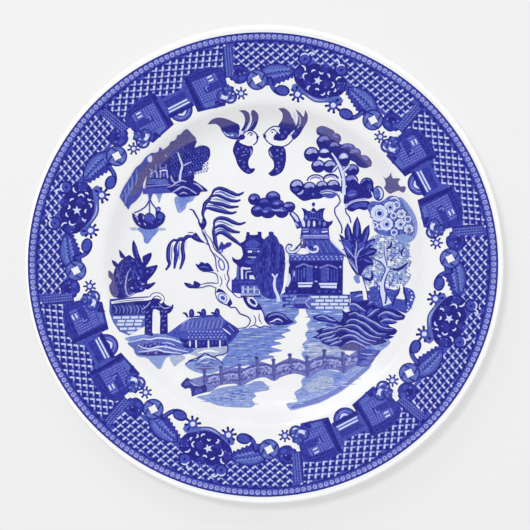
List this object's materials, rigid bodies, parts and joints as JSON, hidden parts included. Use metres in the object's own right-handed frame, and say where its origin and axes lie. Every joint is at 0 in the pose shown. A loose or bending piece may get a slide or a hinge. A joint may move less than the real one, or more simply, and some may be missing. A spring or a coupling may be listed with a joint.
{
  "type": "dinner plate",
  "caption": "Round glazed earthenware dinner plate with a foot ring, flat well and wide rim, printed in blue with a landscape and a lattice border.",
  "frame": {"origin": "centre of the plane that the foot ring stands on", "axes": "+Z is the plate's axis of revolution, up out of the well; +Y points to the top of the landscape print and +X to its right"},
  "size_m": [0.26, 0.26, 0.022],
  "materials": {
    "bare_biscuit": "unglazed fired earthenware, matt and slightly sandy",
    "white_glaze": "clear lead-free glaze over a white body, glossy",
    "cobalt_print": "cobalt transfer print under the glaze, glossy"
  },
  "bodies": {
    "root": {"biscuit_body": "bare_biscuit", "face_glaze": "white_glaze", "base_glaze": "white_glaze", "centre_print": "cobalt_print", "border_print_1": "cobalt_print", "border_print_2": "cobalt_print", "border_print_3": "cobalt_print", "border_print_4": "cobalt_print"}
  },
  "joints": []
}
